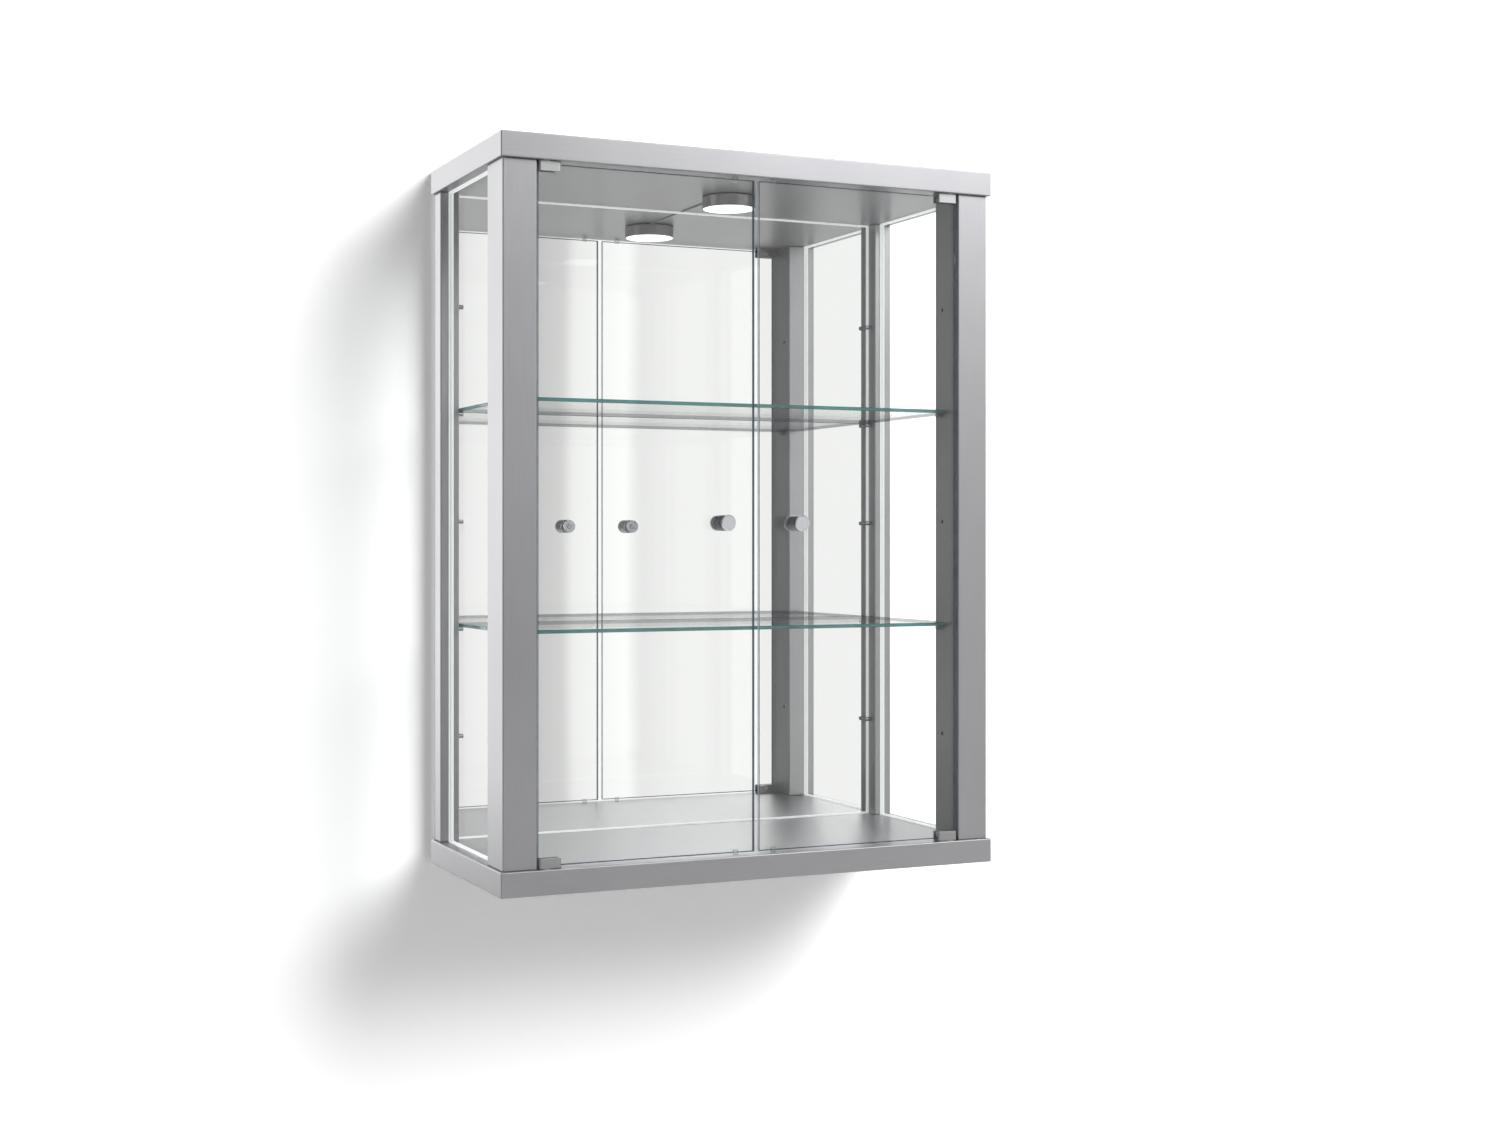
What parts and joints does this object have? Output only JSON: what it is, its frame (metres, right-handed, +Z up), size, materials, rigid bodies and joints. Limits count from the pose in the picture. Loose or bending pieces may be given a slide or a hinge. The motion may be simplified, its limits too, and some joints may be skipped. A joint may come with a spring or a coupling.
{
  "type": "wall mounted glass showcase",
  "caption": "Wall-hung display cabinet with silver frame, hinged glass doors, glass sides and shelves, mirror back and a lamp.",
  "frame": {"origin": "on the wall plane, midway between the two hanging holes in the top board's rear edge", "axes": "+X to the viewer's right, +Y into the wall, +Z up"},
  "size_m": [0.6, 0.2658, 0.8],
  "materials": {
    "silver_foil_board": "chipboard wrapped in satin silver foil",
    "back_board": "thin hardboard, painted pale grey",
    "mirror": "silvered mirror glass, polished",
    "clear_seal": "translucent pvc, glossy",
    "clear_glass": "clear float glass with polished green edges",
    "pin_steel": "nickel-plated pin, dull",
    "zinc_steel": "zinc-plated, bright",
    "beech": "plain beech, fluted dowel",
    "satin_chrome": "satin chrome, fine turned",
    "lamp_steel": "brushed, satin",
    "lamp_white": "white moulded, matte",
    "lamp_black": "black moulded, matte",
    "lamp_lens": "frosted diffuser, lit from behind",
    "clear_stop": "clear soft polyurethane",
    "grey_nylon": "natural nylon",
    "soft_pad": "clear grey pvc pad, matte",
    "lead_sheath": "grey pvc sheath"
  },
  "bodies": {
    "cabinet": {"top_board": "silver_foil_board", "bottom_board": "silver_foil_board", "front_post_left": "silver_foil_board", "front_post_right": "silver_foil_board", "rear_post_left": "silver_foil_board", "rear_post_right": "silver_foil_board", "back_panel": "back_board", "mirror": "mirror", "mirror_bead": "clear_seal", "side_seal_left": "clear_seal", "side_seal_right": "clear_seal", "side_glass_left": "clear_glass", "side_glass_right": "clear_glass", "upper_shelf": "clear_glass", "lower_shelf": "clear_glass", "upper_shelf_pins": "pin_steel", "lower_shelf_pins": "pin_steel", "spare_shelf_pins": "pin_steel", "post_screws": "zinc_steel", "back_panel_screws": "zinc_steel", "hanger_screws": "zinc_steel", "hanger_plate_left": "zinc_steel", "hanger_plate_right": "zinc_steel", "lamp_screws": "zinc_steel", "post_dowels": "beech", "lamp_housing": "lamp_steel", "lamp_led_board": "lamp_white", "lamp_base": "lamp_black", "lamp_lens": "lamp_lens", "door_stops": "clear_stop", "left_lower_pivot_bush": "grey_nylon", "left_upper_pivot_bush": "grey_nylon", "right_lower_pivot_bush": "grey_nylon", "right_upper_pivot_bush": "grey_nylon", "lamp_lead": "lead_sheath"},
    "left_door": {"left_door_glass": "clear_glass", "left_door_knob_screw": "zinc_steel", "left_door_grub_screws": "zinc_steel", "left_door_lower_pivot_pin": "zinc_steel", "left_door_upper_pivot_pin": "zinc_steel", "left_door_knob": "satin_chrome", "left_door_knob_plate": "satin_chrome", "left_door_lower_clamp": "satin_chrome", "left_door_upper_clamp": "satin_chrome", "left_door_clamp_pads": "soft_pad", "left_door_knob_washers": "soft_pad"},
    "right_door": {"right_door_glass": "clear_glass", "right_door_knob_screw": "zinc_steel", "right_door_grub_screws": "zinc_steel", "right_door_lower_pivot_pin": "zinc_steel", "right_door_upper_pivot_pin": "zinc_steel", "right_door_knob": "satin_chrome", "right_door_knob_plate": "satin_chrome", "right_door_lower_clamp": "satin_chrome", "right_door_upper_clamp": "satin_chrome", "right_door_clamp_pads": "soft_pad", "right_door_knob_washers": "soft_pad"}
  },
  "joints": [
    {"name": "left_door_hinge", "type": "hinge", "parent": "cabinet", "child": "left_door", "pos_m": [-0.2475, -0.2405, -0.7595], "axis": [0, 0, -1], "range_deg": [0, 110]},
    {"name": "right_door_hinge", "type": "hinge", "parent": "cabinet", "child": "right_door", "pos_m": [0.2475, -0.2405, -0.7595], "axis": [0, 0, 1], "range_deg": [0, 110]}
  ]
}
